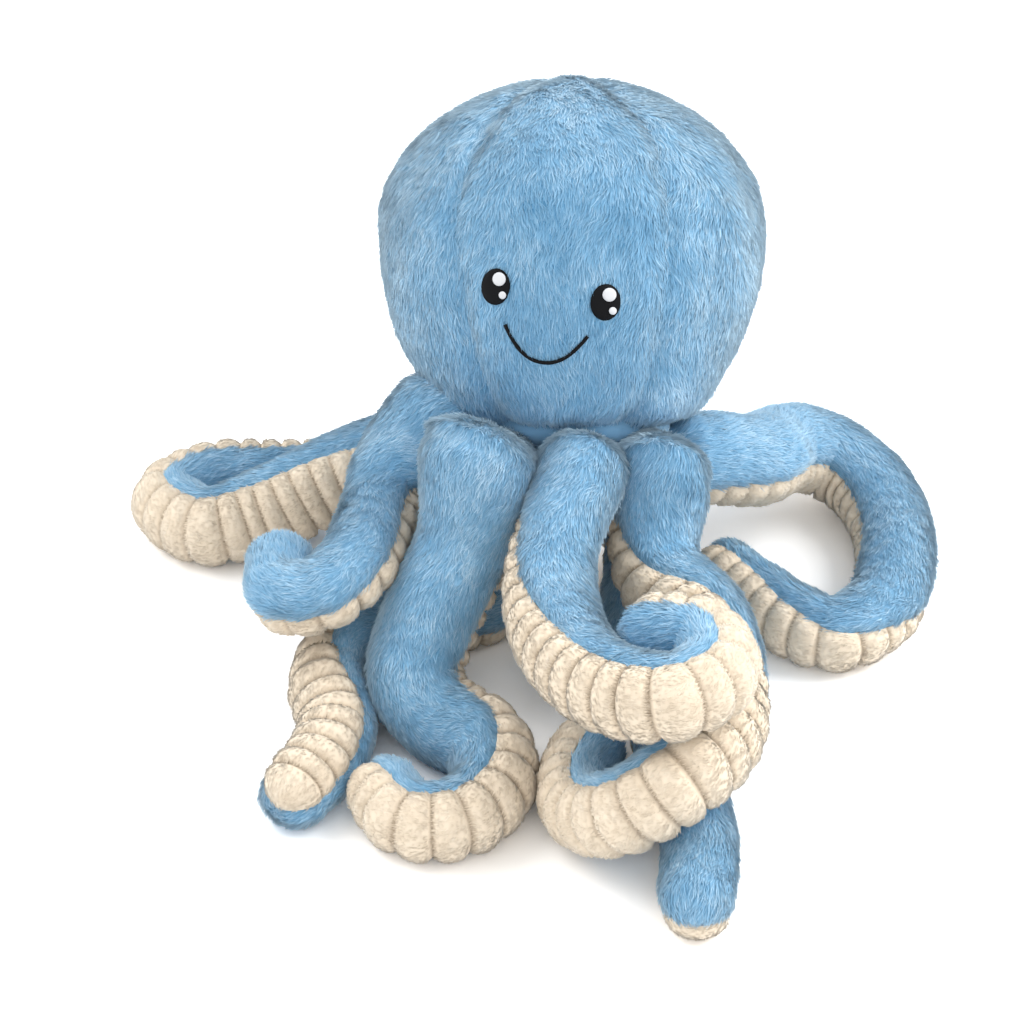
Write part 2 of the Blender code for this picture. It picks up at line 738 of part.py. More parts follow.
def eyes(skin):
    frame = face_frame(0.0, EYE_ABOVE_BASE)
    for name, side in (("left_eye", -1.0), ("right_eye", 1.0)):
        across = FACE_OFFSET + 0.5 * EYE_SPACING * side
        patch = sewn_patch(
            name + "_patch", skin, frame, across, 0.0, EYE_WIDTH, EYE_HEIGHT, EYE_PATCH_THICKNESS,
            "thread_black",
        )
        patch_skin = surface_tree(patch)
        for label, (out, up), size in (
            ("_highlight", HIGHLIGHT_SHARES, HIGHLIGHT_SIZE),
            ("_small_highlight", SMALL_HIGHLIGHT_SHARES, SMALL_HIGHLIGHT_SIZE),
        ):
            sewn_patch(
                name + label, patch_skin, frame, across + out * EYE_WIDTH, up * EYE_HEIGHT, size, size,
                HIGHLIGHT_THICKNESS, "thread_white", (2, 10),
            )


def center_on_origin():
    """Moves the whole toy so that the origin is below the middle of its outline."""
    bpy.context.view_layer.update()
    meshes = [made for made in bpy.data.objects if made.type == "MESH"]
    corners = np.array([made.matrix_world @ vertex.co for made in meshes for vertex in made.data.vertices])
    middle = 0.5 * (corners.min(axis=0) + corners.max(axis=0))
    for made in bpy.data.objects:
        if made.parent is None:
            made.location -= Vector((middle[0], middle[1], 0.0))


def main():
    remove_old_objects()
    panels = [head_panel(*panel) for panel in HEAD_PANELS]
    head_filling()
    base_panel()
    skin = surface_tree(panels[0])
    eyes(skin)
    mouth(skin)
    for name in ARM_ROUTE_SHARES:
        arm(name)
    center_on_origin()


main()
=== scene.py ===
"""Dresses the plush octopus: pile, ribbed cloth, seams, an embroidered face, light and camera."""

import json
import math

import bpy
import numpy as np
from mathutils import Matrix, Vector
from mathutils.bvhtree import BVHTree


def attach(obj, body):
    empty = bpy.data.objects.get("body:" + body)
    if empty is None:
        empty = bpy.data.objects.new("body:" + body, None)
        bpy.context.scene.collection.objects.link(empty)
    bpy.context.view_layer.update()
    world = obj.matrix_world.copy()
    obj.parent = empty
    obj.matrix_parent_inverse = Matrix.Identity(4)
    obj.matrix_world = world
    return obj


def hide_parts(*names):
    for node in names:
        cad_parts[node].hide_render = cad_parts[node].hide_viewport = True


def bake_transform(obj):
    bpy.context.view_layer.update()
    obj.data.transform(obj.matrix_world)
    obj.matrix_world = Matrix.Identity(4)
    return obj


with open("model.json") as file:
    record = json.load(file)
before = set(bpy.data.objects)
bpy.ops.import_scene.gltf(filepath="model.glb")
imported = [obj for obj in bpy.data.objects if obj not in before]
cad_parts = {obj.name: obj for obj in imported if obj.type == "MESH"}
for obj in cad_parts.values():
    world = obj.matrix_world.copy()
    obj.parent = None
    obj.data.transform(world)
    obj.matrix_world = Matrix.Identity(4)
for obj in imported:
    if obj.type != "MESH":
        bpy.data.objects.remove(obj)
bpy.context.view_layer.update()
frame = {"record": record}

# Sizes of the solids, in metres
HEAD_RADIUS = 0.120
HEAD_DOME_HEIGHT = 0.100
HEAD_DROP = 0.120
HEAD_LEAN = math.radians(30.0)
HEAD_TURN = math.radians(-4.0)
NECK_RADIUS_OVER_RING = 0.0035
HEAD_SKIRT_POWER = 0.72
BASE_HEIGHT = 0.120
PLUSH_THICKNESS = 0.008
TOUCH_GAP = 0.0003
ARM_COUNT = 8
ARM_WIDTH = 0.056
ARM_ROOT_WIDTH = 0.046
ARM_TIP_WIDTH = 0.042
ARM_SPACING_GAP = 0.005
RIB_PITCH = 0.0140
FLOOR_FLAT_DEPTH = 0.0005
FIRST_ARM_ANGLE = math.radians(5.0)
BLUE_HALF_ANGLE = math.radians(100.0)
OTHER_SEAM = 2.0 * math.pi - BLUE_HALF_ANGLE
TOP_OUTER_SIDES = 4
UNDERSIDE_OUTER_SIDES = 3
ROUTE_STEPS = 24
FRONT_EDGE = math.radians(33.0)
SIDE_EDGE = math.radians(105.0)
EYE_WIDTH = 0.0175
EYE_HEIGHT = 0.0215
EYE_ABOVE_BASE = 0.083
EYE_SPACING = 0.065
HIGHLIGHT_SIZE = 0.0080
SMALL_HIGHLIGHT_SIZE = 0.0045
MOUTH_WIDTH = 0.049
MOUTH_DEPTH = 0.019
MOUTH_ABOVE_BASE = 0.052
FACE_OFFSET = -0.007
FACE_TILT = math.radians(-8.0)
MOUTH_OFFSET = -0.011

# Steps of the skins, and how far they crowd towards the seams
SKIN_PER_RIB = 8
DOME_STEPS = 7
TOP_SIDES = 36
UNDERSIDE_SIDES = 26
INNER_SIDES = 5
HEAD_SIDES = 44
HEAD_INNER_SIDES = 8
HEAD_LOW_STEPS = 30
HEAD_DOME_STEPS = 36
BASE_SIDES = 72
EYE_SIDES = 40
SHINE_SIDES = 24
MOUTH_STEPS = 60
MOUTH_SIDES = 12
ARM_CROWDING = 0.45
HEAD_CROWDING = 0.4

# Sizes of what this script adds, in metres
SEAM_MARGIN = 0.00015
SEAM_TUCK = 0.0034
SEAM_REACH = 0.0050
RIB_RELIEF = 0.0052
RIB_PROUD = 0.0016
RIB_EDGE_REACH = 0.010
LUMP_HEIGHT = 0.0009
LUMP_LENGTH = 0.045
HEAD_SEAM_TUCK = 0.0030
HEAD_SEAM_REACH = 0.0075
HEAD_SEAM_END = 0.02
HEAD_SINK = 0.0040
HEAD_SKIN_DEPTH = 0.0180
HEAD_HEM_TUCK = 0.0050
HEAD_HEM_REACH = 0.0080
HEAD_CROWN = 0.0030
HEAD_LUMP_HEIGHT = 0.0020
HEAD_LUMP_LENGTH = 0.07
HEAD_WRINKLE_HEIGHT = 0.0011
HEAD_WRINKLE_LENGTH = 0.024
MOUTH_THREAD = 0.0011
MOUTH_OVER_SKIN = 0.0022
MOUTH_CLEARANCE = 0.0016

# Forms of the ribs and of the seams' edges, as shares
RIB_DEPTH = 0.97
RIB_POWER = 2.2
RIB_EDGE_SHARE = 0.35
DOME_CREST = 0.75
SCALLOP_LOW = 0.8
SCALLOP_RISE = 0.4

# Pile: length, lift over length, width, skin area per tuft, how unlike the tufts' tones are, and the painted
# light along a tuft: how far its feet are darkened, as painted shade, and its tip lightened from its middle
BLUE_PILE = (0.0068, 0.25, 0.0009, 1.35e-6, 0.085, 0.14)
CREAM_PILE = (0.0026, 0.30, 0.0008, 2.4e-6, 0.05, 0.04)
# Wave lengths of the pile's swirls, locks, lift, flecks and shades, in metres
SWIRL_LENGTH = 0.055
LOCK_LENGTH = 0.012
LIFT_LENGTH = 0.010
FLECK_LENGTH = 0.007
SHADE_LENGTH = 0.035
# How far tufts turn aside and tilt, in radians or as shares
SWIRL_SHARE = 0.6
LOCK_SHARE = 0.4
TUFT_YAW = 0.22
TUFT_LIFT = 0.07
LOCK_TILT = 0.28
TUFT_TILT = 0.13
SHORTEST_TUFT = 0.75
LONGEST_TUFT = 1.2

# Tones: 0 is the darkest of three colours, 0.5 the middle one, 1 the lightest
TONE_LIMITS = (0.02, 0.98)
MIDDLE_TONE = 0.51
FLECK_DEPTH = 0.10
SHADE_DEPTH = 0.12
HEAD_TONE = 0.45
# Painted light: the head's pile is lighter towards its sides and top, away from the face
HEAD_PAINTED_RIM_LIGHT = 0.34
HEAD_PAINTED_RIM_POWER = 1.3
CREAM_TONE = 0.55
CREAM_MOTTLE = 0.06
# Painted shade in the grooves between the cream ribs: how dark, where it starts and how sharply it falls
GROOVE_PAINTED_SHADE = 0.36
GROOVE_SHADE_START = 0.76
GROOVE_SHADE_POWER = 1.5
BLUE_TONES = ((0.08, 0.25, 0.44), (0.21, 0.42, 0.62), (0.53, 0.72, 0.86))
BLUE_SHEEN = (0.62, 0.84, 1.0)
CREAM_SHEEN = (1.0, 0.95, 0.86)
CREAM_TONES = ((0.42, 0.33, 0.24), (0.73, 0.62, 0.48), (0.85, 0.77, 0.65))
BLACK_THREAD = (0.006, 0.006, 0.007)
WHITE_THREAD = (0.60, 0.61, 0.63)
THREAD_ROUGHNESS = 0.6
PILE_ROUGHNESS = 0.85
SPECULAR_LEVEL = 0.08

# Light: name, place, size in metres and power in watts of each lamp, and where they all aim
LAMPS = (
    ("key", (1.6, 0.2, 1.6), 1.5, 44.0),
    ("rim", (-1.4, 0.4, 1.7), 1.5, 24.0),
    ("fill", (0.0, -2.0, 1.0), 1.8, 10.0),
)
LAMP_AIM = (0.0, 0.0, 0.1)
WORLD_LEVEL = 0.94
FLOOR_REACH = 6.0
FLOOR_TONE = 0.92
FLOOR_SEEN_TONE = 1.2

# Camera: place over the middle of the base, tilt below the level, lens and film in millimetres
CAMERA_PLACE = (-0.037, -1.41356, 1.04558)
CAMERA_TILT = 35.0
CAMERA_LENS = 94.866
CAMERA_FILM = 36.0
CAMERA_REACH = 50.0

# Tufts that start lower than this would lie in the surface
BARE_HEIGHT = 0.0022

# Arm roots: how many ribs the root pieces take, and how far the covers swell there
ROOT_RIBS = 5
ROOT_FREE_RIBS = 3.5
ROOT_FLARES = {
    "arm_1": 0.010,
    "arm_2": 0.022,
    "arm_3": 0.010,
    "arm_4": 0.010,
    "arm_5": 0.010,
    "arm_6": 0.012,
    "arm_7": 0.040,
    "arm_8": 0.044,
}
ROOT_FLARE_RUN_IN = 0.013
ROOT_FLARE_START = 0.014
ROOT_FLARE_END = 0.066
ROOT_FLARE_ANGLE = 0.95
ROOT_SIDE = 0.0036
ROOT_SIDE_REACH = 0.028
ROOT_SIDE_ANGLE = 1.5
ROOT_SIDE_SPREAD = 0.8

ARM_ROUTE_SHARES = {
    "arm_1": (
        0,
        (
            (-0.21, -2.25, 1.76, (-0.4, 0.6, -0.7)),
            (-0.25, -3.02, 1.54, (-0.9, 0.2, -0.4)),
            (-0.06, -3.80, 1.52, (-0.9, -0.4, -0.1)),
            (0.36, -4.48, 1.63, (-0.5, -0.9, 0.1)),
            (0.90, -4.78, 1.79, (0.1, -1.0, 0.2)),
            (1.34, -4.42, 1.80, (0.9, -0.5, 0.2)),
            (1.26, -3.86, 1.77, (0.8, 0.6, 0.1)),
            (0.82, -3.66, 1.75, (0.1, 1.0, 0.1)),
        ),
    ),
    "arm_2": (
        1,
        (
            (0.82, -1.32, 1.50, (-0.4, 0.5, -0.8)),
            (0.94, -1.95, 1.16, (-0.9, 0.1, -0.3)),
            (1.34, -2.55, 0.99, (-0.9, -0.3, 0.3)),
            (1.46, -3.10, 0.90, (-0.4, -0.3, 0.9)),
            (1.49, -3.75, 0.88, (0.2, -0.3, 0.9)),
            (1.38, -4.40, 0.90, (0.6, -0.5, 0.6)),
            (1.02, -4.90, 0.88, (0.5, -0.9, 0.3)),
            (0.48, -4.98, 0.53, (0.0, -1.0, 0.2)),
            (0.08, -4.54, 0.13, (-0.7, -0.8, 0.2)),
            (0.00, -3.98, 0.0, (-1.0, 0.0, 0.2)),
            (0.14, -3.44, 0.0, (-0.9, 0.5, 0.2)),
        ),
    ),
    "arm_3": (
        2,
        (
            (2.10, 0.42, 1.05, (0.0, -0.2, -1.0)),
            (2.48, 1.22, 0.66, (0.0, -0.2, -1.0)),
            (3.00, 1.64, 0.32, (-0.2, -0.4, -0.9)),
            (3.50, 1.36, 0.10, (-0.5, -0.3, -0.8)),
            (3.76, 0.66, 0.0, (-0.6, 0.0, -0.8)),
            (3.74, -0.22, 0.0, (-0.5, 0.0, -0.9)),
            (3.48, -1.04, 0.0, (-0.1, -0.4, -0.9)),
            (2.96, -1.46, 0.0, (0.0, -0.8, -0.6)),
            (2.46, -1.22, 0.0, (-0.4, -0.8, -0.1)),
            (2.12, -0.78, 0.02, (-0.6, -0.7, 0.1)),
            (1.78, -0.36, 0.06, (-0.6, -0.7, 0.2)),
        ),
    ),
    "arm_4": (
        3,
        (
            (0.86, -0.36, 0.10, (0.0, 0.2, -1.0)),
            (0.78, -1.30, 0.0, (0.0, 0.0, -1.0)),
            (0.88, -2.30, 0.0, (0.0, 0.0, -1.0)),
            (1.01, -3.20, 0.0, (0.0, 0.0, -1.0)),
            (1.14, -4.10, 0.0, (0.0, 0.0, -1.0)),
            (1.22, -5.00, 0.0, (0.0, 0.0, -1.0)),
            (1.16, -5.70, 0.0, (0.0, 0.0, -1.0)),
        ),
    ),
    "arm_5": (
        4,
        (
            (-0.36, -0.32, 0.10, (0.0, 0.2, -1.0)),
            (-0.98, -0.92, 0.0, (0.0, 0.0, -1.0)),
            (-1.80, -1.30, 0.0, (-0.3, 0.3, -0.9)),
            (-2.47, -1.80, 0.0, (-0.9, 0.4, -0.1)),
            (-2.63, -2.46, 0.0, (-0.8, -0.1, 0.6)),
            (-2.52, -3.10, 0.0, (-0.4, -0.2, 0.9)),
            (-2.64, -3.65, 0.0, (-0.1, -0.4, 0.9)),
            (-2.88, -4.08, 0.0, (-0.1, -0.4, 0.9)),
        ),
    ),
    "arm_6": (
        5,
        (
            (-1.80, 0.95, 0.80, (-0.3, -0.8, -0.5)),
            (-2.75, 0.86, 0.46, (0.0, -1.0, -0.2)),
            (-3.60, 0.66, 0.12, (0.1, -1.0, 0.1)),
            (-4.25, 0.56, 0.0, (-0.2, -1.0, 0.1)),
            (-4.72, 1.08, 0.0, (-1.0, 0.0, 0.1)),
            (-4.25, 1.60, 0.0, (-0.3, 1.0, 0.0)),
            (-3.60, 1.68, 0.0, (0.2, 1.0, 0.0)),
            (-2.95, 1.74, 0.0, (0.2, 1.0, 0.0)),
        ),
    ),
    "arm_7": (
        6,
        (
            (-1.98, -0.66, 1.38, (0.9, 0.2, -0.4)),
            (-2.17, -1.30, 1.32, (0.9, 0.2, -0.4)),
            (-2.34, -1.95, 1.31, (0.5, 0.4, -0.8)),
            (-2.67, -2.25, 1.17, (0.1, 0.5, -0.9)),
            (-3.08, -2.08, 1.00, (-0.2, 0.4, -0.9)),
            (-3.18, -1.51, 0.95, (0.0, 0.3, -0.9)),
        ),
    ),
    "arm_8": (
        7,
        (
            (-1.24, -1.76, 1.22, (0.3, 0.7, -0.7)),
            (-1.56, -2.14, 0.66, (0.3, 0.6, -0.8)),
            (-1.69, -2.64, 0.26, (0.4, 0.4, -0.9)),
            (-1.38, -3.06, 0.02, (0.7, 0.5, -0.5)),
            (-0.94, -3.44, 0.0, (0.9, 0.3, 0.1)),
            (-0.86, -4.06, 0.0, (0.9, -0.4, 0.3)),
            (-1.22, -4.52, 0.0, (0.3, -0.9, 0.3)),
            (-1.70, -4.52, 0.0, (-0.5, -0.9, 0.3)),
            (-1.98, -4.12, 0.0, (-1.0, -0.2, 0.2)),
        ),
    ),
}

# How far each arm's root is raised to lie against the head, as a share of the arm's width
ARM_SEAT_SHARES = {
    "arm_1": 0.0244,
    "arm_2": 0.0150,
    "arm_3": 0.0175,
    "arm_4": 0.0100,
    "arm_5": 0.0131,
    "arm_6": 0.0244,
    "arm_7": 0.0356,
    "arm_8": 0.0206,
}

# How far from its root each arm has its full width, as a share of that width
ARM_SWELL_SHARES = {
    "arm_1": 2.6,
    "arm_2": 2.0,
    "arm_3": 1.3,
    "arm_4": 1.3,
    "arm_5": 1.3,
    "arm_6": 1.3,
    "arm_7": 1.6,
    "arm_8": 0.9,
}

# Each arm's own full width, as a share of the common one
ARM_FULLNESS_SHARES = {
    "arm_1": 1.0,
    "arm_2": 1.0,
    "arm_3": 1.0,
    "arm_4": 0.93,
    "arm_5": 1.0,
    "arm_6": 1.0,
    "arm_7": 0.86,
    "arm_8": 1.04,
}

# Shares of the arm's length, and of the way from its tip width to its full width
ARM_WIDTH_SHARES = ((0.0, 1.0), (0.3, 1.0), (0.55, 0.6), (0.8, 0.25), (1.0, 0.0))

# Satin stitches: shares of the half width, and heights over the skin
EYE_LEVELS = (
    (0.90, -0.001),
    (1.0, 0.0010),
    (0.99, 0.0022),
    (0.90, 0.0030),
    (0.7, 0.0036),
    (0.4, 0.0040),
    (0.1, 0.0041),
)
SHINE_LEVELS = (
    (0.95, 0.0030),
    (1.0, 0.0044),
    (0.9, 0.0050),
    (0.6, 0.0053),
    (0.15, 0.0054),
)

# Highlights: shares of the eye's width and height from its middle, and the size
HIGHLIGHTS = (
    ("_highlight", 0.1, 0.22, HIGHLIGHT_SIZE),
    ("_small_highlight", 0.28, -0.2, SMALL_HIGHLIGHT_SIZE),
)
MOUTH_POWER = 2.2

# Head panels, from seam to seam round the head's axis
HEAD_PANELS = (
    ("head_front", -FRONT_EDGE, FRONT_EDGE),
    ("head_right", FRONT_EDGE, SIDE_EDGE),
    ("head_back_right", SIDE_EDGE, math.pi),
    ("head_back_left", math.pi, 2.0 * math.pi - SIDE_EDGE),
    ("head_left", 2.0 * math.pi - SIDE_EDGE, 2.0 * math.pi - FRONT_EDGE),
)

# Shares of the base's radius, and heights over its lower side
BASE_BULGE = ((1.0, 0.0078), (1.0, 0.0), (0.92, -0.006), (0.7, -0.014), (0.45, -0.019), (0.2, -0.021))

# Where the fixed random draws of each kind of surface start
HEAD_SKIN_SEED = 3
ARM_SEED = 20
HEAD_PILE_SEED = 40
ROOT_PILE_SEED = 50


# Places and directions, as in the solids
def unit(vector):
    return vector / np.linalg.norm(vector)


def units(vectors):
    return vectors / np.linalg.norm(vectors, axis=-1, keepdims=True)


def ring_radius():
    return (ARM_ROOT_WIDTH + ARM_SPACING_GAP) / (2.0 * math.sin(math.pi / ARM_COUNT))


def neck_radius():
    return ring_radius() + NECK_RADIUS_OVER_RING


def head_axis():
    return np.array((0.0, math.sin(HEAD_LEAN), math.cos(HEAD_LEAN)))


def ring_direction(angle):
    forward = np.array((0.0, -math.cos(HEAD_LEAN), math.sin(HEAD_LEAN)))
    across = np.array((1.0, 0.0, 0.0))
    return np.multiply.outer(np.sin(angle), across) + np.multiply.outer(np.cos(angle), forward)


def arm_root(place):
    outwards = ring_direction(FIRST_ARM_ANGLE + 2.0 * math.pi * place / ARM_COUNT)
    below = 0.5 * ARM_ROOT_WIDTH + TOUCH_GAP
    return np.array((0.0, 0.0, BASE_HEIGHT)) + outwards * ring_radius() - head_axis() * below, outwards


def world_shift():
    """From the place over the middle of the base to the row's origin, read from the first joint."""
    joint = next(made for made in frame["record"]["behaviour"]["joints"] if made["child"] == "arm_1")
    return np.array(joint["pos_m"]) - arm_root(0)[0]


SHIFT = world_shift()


def from_head(around, radius, along):
    """World points from angles round the head's axis, radii and heights over the base."""
    middle = np.array((0.0, 0.0, BASE_HEIGHT)) + SHIFT
    reach = ring_direction(around + HEAD_TURN) * np.asarray(radius)[..., None]
    return middle + np.multiply.outer(np.asarray(along), head_axis()) + reach


def arm_radii(name, places):
    shares, widths = zip(*ARM_WIDTH_SHARES)
    full = ARM_WIDTH * ARM_FULLNESS_SHARES[name]
    tapered = ARM_TIP_WIDTH + (full - ARM_TIP_WIDTH) * np.interp(places / places[-1], shares, widths)
    way = np.clip(places / (ARM_SWELL_SHARES[name] * ARM_WIDTH), 0.0, 1.0)
    return 0.5 * (ARM_ROOT_WIDTH + (tapered - ARM_ROOT_WIDTH) * way * way * (3.0 - 2.0 * way))


def smooth_route(points):
    points = np.array(points)
    ends = np.vstack((2.0 * points[0] - points[1], points, 2.0 * points[-1] - points[-2]))
    curve = []
    for index in range(1, len(ends) - 2):
        knots = [0.0]
        corners = ends[index - 1 : index + 3]
        for before, after in zip(corners[:-1], corners[1:]):
            knots.append(knots[-1] + math.sqrt(np.linalg.norm(after - before)))
        for step in range(ROUTE_STEPS):
            curve.append(catmull_point(corners, knots, knots[1] + (knots[2] - knots[1]) * step / ROUTE_STEPS))
    curve.append(points[-1])
    return np.array(curve)


def catmull_point(corners, knots, at):
    level = [corner for corner in corners]
    for span in (1, 2, 3):
        for index in range(4 - span):
            low, high = knots[index], knots[index + span]
            if span == 3:
                low, high = knots[1], knots[2]
            share = (at - low) / (high - low)
            level[index] = level[index] * (1.0 - share) + level[index + 1] * share
    return level[0]


def lowest_corner(up, side, radius):
    angles = np.concatenate((
        np.linspace(-BLUE_HALF_ANGLE, BLUE_HALF_ANGLE, TOP_OUTER_SIDES + 1),
        np.linspace(BLUE_HALF_ANGLE, OTHER_SEAM, UNDERSIDE_OUTER_SIDES + 1),
    ))
    return -radius * float((up[2] * np.cos(angles) + side[2] * np.sin(angles)).min())


def carried_frames(ahead):
    along = unit(ahead[0])
    up = unit(np.cross(along, np.array((1.0, 0.0, 0.0))))
    frames = []
    for direction in ahead:
        along = unit(direction)
        up = unit(up - along * np.dot(up, along))
        frames.append((along, up, np.cross(along, up)))
    return frames


def cream_rolls(frames, knots, places, creams):
    rolls = []
    for knot, cream in zip(knots, creams):
        _along, up, side = frames[int(np.argmin(abs(places - knot)))]
        roll = math.atan2(-np.dot(cream, side), -np.dot(cream, up))
        if rolls:
            roll += 2.0 * math.pi * round((rolls[-1] - roll) / (2.0 * math.pi))
        rolls.append(roll)
    rolls = np.interp(places, knots, rolls)
    for _round in range(12):
        rolls[1:-1] = 0.25 * rolls[:-2] + 0.5 * rolls[1:-1] + 0.25 * rolls[2:]
    return rolls


def columns(places, old, values):
    return np.stack([np.interp(places, old, values[:, axis]) for axis in range(3)], axis=1)


def arm_line(name):
    """The arm's middle line and frames, several to a rib: places, middles, along, up, side, radii."""
    place, table = ARM_ROUTE_SHARES[name]
    root, outwards = arm_root(place)
    floor_radius = 0.5 * ARM_TIP_WIDTH
    rows = [root + head_axis() * ARM_SEAT_SHARES[name] * ARM_WIDTH]
    creams = [unit(-0.5 * outwards - np.array((0.0, 0.0, 1.0)))]
    for across, back, lift, cream in table:
        rows.append(np.array((across * ARM_WIDTH, back * ARM_WIDTH, lift * ARM_WIDTH + floor_radius)))
        creams.append(unit(np.array(cream)))
    curve = smooth_route(rows)
    run = np.concatenate(([0.0], np.cumsum(np.linalg.norm(np.diff(curve, axis=0), axis=1))))
    count = max(2, round(run[-1] / RIB_PITCH))
    places = np.linspace(0.0, run[-1], count + 1)
    middles = columns(places, run, curve)
    radii = arm_radii(name, places)
    resting = np.clip(1.0 - (middles[:, 2] - floor_radius) / ARM_WIDTH, 0.0, 1.0)
    resting = resting * np.clip(places / ARM_WIDTH, 0.0, 1.0)
    frames = carried_frames(np.gradient(middles, axis=0))
    rolls = cream_rolls(frames, run[::ROUTE_STEPS], places, creams)
    rises, ups = [], []
    for (along, up, side), roll, radius, share in zip(frames, rolls, radii, resting):
        turned = up * math.cos(roll) + side * math.sin(roll)
        lowest = lowest_corner(turned, np.cross(along, turned), radius)
        rises.append((lowest - floor_radius) * share - FLOOR_FLAT_DEPTH)
        ups.append(turned)
    fine = np.linspace(0.0, run[-1], count * SKIN_PER_RIB + 1)
    line = columns(fine, run, curve)
    line[:, 2] += np.interp(fine, places, rises)
    along = units(np.gradient(line, axis=0))
    up = columns(fine, places, np.array(ups))
    up = units(up - along * (up * along).sum(axis=1, keepdims=True))
    return fine / (run[-1] / count), line + SHIFT, along, up, np.cross(along, up), arm_radii(name, fine)


def arm_stations(name):
    """The line with a dome at each end. Adds how far round the dome each station is, 1 on the arm."""
    ribs, middle, along, up, side, radius = arm_line(name)
    rises = np.radians(np.linspace(6.0, 80.0, DOME_STEPS))
    first, last = np.zeros(DOME_STEPS, int), np.full(DOME_STEPS, len(ribs) - 1)
    pick = np.concatenate((first, np.arange(len(ribs)), last))
    rise = np.concatenate((rises, np.full(len(ribs), 0.5 * math.pi), rises[::-1]))
    way = np.concatenate((np.full(DOME_STEPS, -1.0), np.zeros(len(ribs)), np.full(DOME_STEPS, 1.0)))
    return {
        "ribs": ribs[pick] + way * (0.5 * math.pi - rise) * radius[pick] / RIB_PITCH,
        "middle": middle[pick],
        "along": along[pick],
        "up": up[pick],
        "side": side[pick],
        "radius": radius[pick],
        "rise": rise,
        "way": way,
    }


def arm_surface(stations, around, height):
    """Points, outward directions and directions along the arm, for angles round it and heights over it."""
    upwards, sideways = np.cos(around)[..., None], np.sin(around)[..., None]
    turn = stations["up"][:, None] * upwards + stations["side"][:, None] * sideways
    rise, way = stations["rise"][:, None, None], stations["way"][:, None, None]
    along = stations["along"][:, None]
    out = turn * np.sin(rise) + along * way * np.cos(rise)
    reach = (stations["radius"][:, None] + height)[..., None]
    flow = along * np.sin(rise) - turn * way * np.cos(rise)
    return stations["middle"][:, None] + out * reach, out, np.broadcast_to(flow, out.shape)


# Soft forms
def waves(points, length, seed, count=9):
    """A smooth random field from -1 to 1, with features about a length across."""
    dice = np.random.default_rng(seed)
    total = np.zeros(points.shape[:-1])
    for _wave in range(count):
        direction = unit(dice.normal(size=3)) * 2.0 * math.pi / (length * dice.uniform(0.7, 1.6))
        total += np.sin(points @ direction + dice.uniform(0.0, 2.0 * math.pi))
    return total / (0.7 * count)


def crowded(sides, crowding):
    """Shares from 0 to 1 that lie closer together towards both ends."""
    share = np.linspace(0.0, 1.0, sides + 1)
    return 0.5 - 0.5 * np.cos(math.pi * share) * crowding - (1.0 - crowding) * (0.5 - share)


def sector(stations, first, last, sides):
    """Angles round the arm at each station, a hair inside both seams, and their distance to the nearer."""
    reach = stations["radius"] * np.sin(stations["rise"])
    around = first + (last - first) * crowded(sides, ARM_CROWDING)
    margin = np.minimum(SEAM_MARGIN / reach, 0.02)[:, None]
    around = np.clip(around[None, :], first + margin, last - margin)
    edge = np.minimum(around - first, last - around) * reach[:, None]
    return around, edge


def root_flare(name, stations, around):
    """How far the cover swells near its root, where it is sewn to the head and to its neighbours."""
    along = (stations["ribs"] * RIB_PITCH)[:, None]
    turn = (around + math.pi) % (2.0 * math.pi) - math.pi
    way = np.clip((along - ROOT_FLARE_START) / (ROOT_FLARE_END - ROOT_FLARE_START), 0.0, 1.0)
    rise = ROOT_FLARES[name] * (1.0 - way * way * (3.0 - 2.0 * way))
    rise = rise * np.exp(-((turn / ROOT_FLARE_ANGLE) ** 2))
    side = ROOT_SIDE * np.exp(-((along / ROOT_SIDE_REACH) ** 2))
    side = side * np.exp(-(((abs(turn) - ROOT_SIDE_ANGLE) / ROOT_SIDE_SPREAD) ** 2))
    return rise * np.clip(1.0 + along / ROOT_FLARE_RUN_IN, 0.0, 1.0) + side


def top_surface(name, stations, seed):
    around, edge = sector(stations, -BLUE_HALF_ANGLE, BLUE_HALF_ANGLE, TOP_SIDES)
    plain = arm_surface(stations, around, np.zeros_like(around))[0]
    tuck = SEAM_TUCK * np.exp(-((edge / SEAM_REACH) ** 2))
    scallop = 0.5 + 0.5 * np.cos(2.0 * math.pi * stations["ribs"])[:, None]
    tuck = tuck * (SCALLOP_LOW + SCALLOP_RISE * scallop)
    lumps = LUMP_HEIGHT * waves(plain, LUMP_LENGTH, seed)
    return arm_surface(stations, around, lumps - tuck + root_flare(name, stations, around))


def underside_surface(name, stations, _seed):
    around, edge = sector(stations, BLUE_HALF_ANGLE, OTHER_SEAM, UNDERSIDE_SIDES)
    phase = stations["ribs"] % 1.0
    crest = np.sqrt(1.0 - RIB_DEPTH * abs(2.0 * phase - 1.0) ** RIB_POWER)
    crest = np.where(stations["way"] == 0.0, crest, DOME_CREST)[:, None]
    tuck = SEAM_TUCK * np.exp(-((edge / SEAM_REACH) ** 2))
    relief = RIB_RELIEF * np.clip(RIB_EDGE_SHARE + edge / RIB_EDGE_REACH, 0.0, 1.0)
    height = RIB_PROUD - relief * (1.0 - crest) - tuck + root_flare(name, stations, around)
    return arm_surface(stations, around, height)


def grid_faces(rows, count):
    """Quads that join closed rows of points."""
    low = (np.arange(rows - 1)[:, None] * count + np.arange(count)[None, :]).ravel()
    after = (np.arange(rows - 1)[:, None] * count + (np.arange(count)[None, :] + 1) % count).ravel()
    return np.stack((low, after, after + count, low + count), axis=1)


def linked(name, data):
    made = bpy.data.objects.new(name, data)
    bpy.context.collection.objects.link(made)
    return made


def dressed(name, mesh, surface, body):
    """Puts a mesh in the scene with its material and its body."""
    mesh.materials.append(surface)
    made = linked(name, mesh)
    follow(made, body)
    return made


